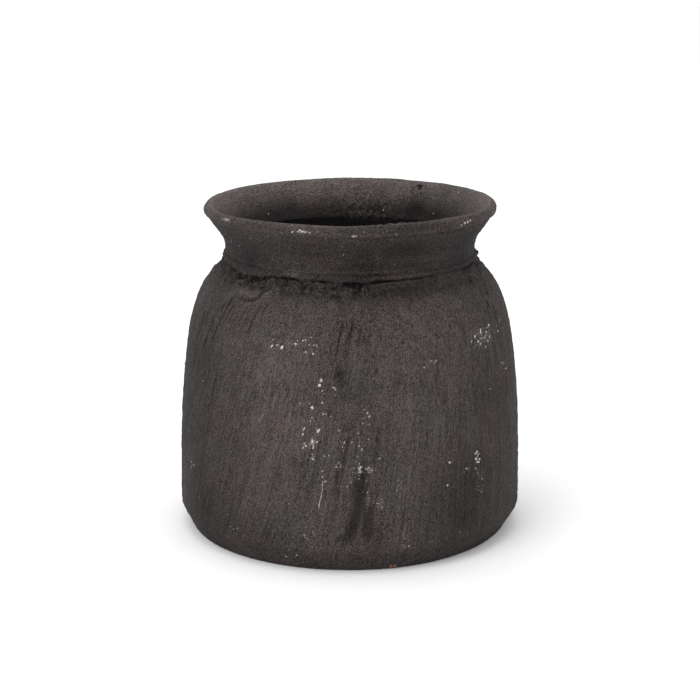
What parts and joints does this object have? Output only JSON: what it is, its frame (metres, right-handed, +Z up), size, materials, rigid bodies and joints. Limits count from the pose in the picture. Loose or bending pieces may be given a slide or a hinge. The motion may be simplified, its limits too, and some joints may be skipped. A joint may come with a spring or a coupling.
{
  "type": "black clay storage pot",
  "caption": "Round black earthenware jar with a bevelled flat foot, upright wall, closed-in shoulder and a short flared collar with a rounded lip.",
  "frame": {"origin": "middle of the flat underside, where the pot rests", "axes": "+Z up along the pot's axis, out of the mouth; +X and +Y level, with no front or back"},
  "size_m": [0.2, 0.2, 0.1913],
  "materials": {
    "coated_clay": "matte, brushed dark earth coat over low-fired clay",
    "collar_clay": "matte, wiped smooth, paler where the lip is rubbed",
    "luting_clay": "rough, crumbly, smoke-blackened clay"
  },
  "bodies": {
    "root": {"base_slab": "coated_clay", "lower_wall": "coated_clay", "shoulder_wall": "coated_clay", "neck_collar": "collar_clay", "rim_coil": "collar_clay", "neck_seam_outer": "luting_clay", "neck_seam_inner": "luting_clay", "floor_seam_inner": "luting_clay"}
  },
  "joints": []
}
